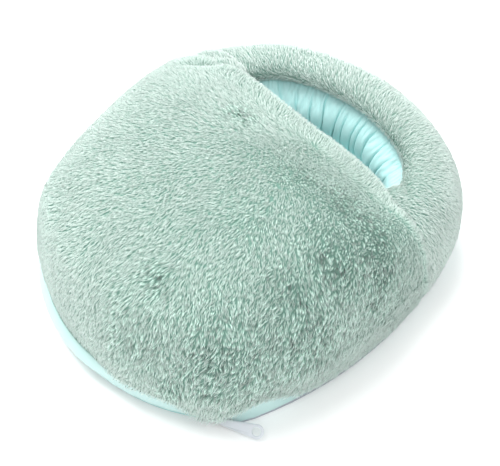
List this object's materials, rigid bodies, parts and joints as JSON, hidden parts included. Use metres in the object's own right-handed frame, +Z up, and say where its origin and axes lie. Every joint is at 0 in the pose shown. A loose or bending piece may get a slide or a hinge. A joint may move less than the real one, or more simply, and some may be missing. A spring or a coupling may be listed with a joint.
{
  "type": "electric foot warmer",
  "caption": "Plush electric foot warmer for both feet: stuffed toe cap, rolled heel collar with a gathered lining, heating pad in a zipped base and a pull tab at the toe.",
  "frame": {"origin": "middle of the footprint, on the surface that the sole stands on", "axes": "+Z up, -Y towards the toe, +Y towards the heel and its power inlet, +X towards the wearer's left foot"},
  "size_m": [0.2774, 0.3425, 0.1417],
  "materials": {
    "plush": "soft long pile plush in pale sea green",
    "lining_cloth": "thin smooth woven polyester in light aqua",
    "band_cloth": "smooth woven polyester in pale aqua",
    "wadding": "loose white polyester fibre",
    "foam": "open cell foam board",
    "pad_cloth": "white bonded felt",
    "silicone": "red silicone insulation",
    "black_plastic": "moulded, fine grain",
    "fuse_sleeve": "white heat resistant sleeve",
    "lead_jacket": "black flexible jacket",
    "pin_metal": "turned and polished",
    "zip_tape": "woven tape in aqua",
    "zip_coil": "nylon coil in aqua",
    "slider_plastic": "moulded, slightly glossy, off white",
    "pull_plastic": "soft translucent white moulding"
  },
  "bodies": {
    "root": {"toe_cap_fur": "plush", "toe_cap_wadding": "wadding", "lip_wadding": "wadding", "toe_pocket_lining": "lining_cloth", "heel_collar_fur": "plush", "heel_collar_wadding": "wadding", "heel_lining": "lining_cloth", "side_band": "band_cloth", "sole_panel": "band_cloth", "base_foam": "foam", "heater_pad_bottom": "pad_cloth", "heater_pad_top": "pad_cloth", "footbed_wadding": "wadding", "footbed_lining": "lining_cloth", "heating_wire": "silicone", "thermostat": "black_plastic", "thermal_fuse": "fuse_sleeve", "lead_splice": "black_plastic", "heater_lead": "lead_jacket", "inlet_body": "black_plastic", "inlet_pin_left": "pin_metal", "inlet_pin_right": "pin_metal", "inlet_bezel": "black_plastic", "inlet_clip": "black_plastic", "zip_tape_upper": "zip_tape", "zip_tape_lower": "zip_tape", "zip_coil_upper": "zip_coil", "zip_coil_lower": "zip_coil", "zip_stop_closed": "zip_coil", "zip_stop_open": "zip_coil"},
    "slider": {"zip_slider": "slider_plastic"},
    "pull_tab": {"zip_pull_tab": "pull_plastic"}
  },
  "joints": [
    {"name": "slider_travel", "type": "hinge", "parent": "root", "child": "slider", "pos_m": [0, -0.01541, 0], "axis": [0, 0, 1], "range_deg": [-71.5, 0]},
    {"name": "pull_tab_swing", "type": "hinge", "parent": "slider", "child": "pull_tab", "pos_m": [0.08989, -0.13989, 0.006], "axis": [0, 0, -1], "range_deg": [0, 130]}
  ]
}
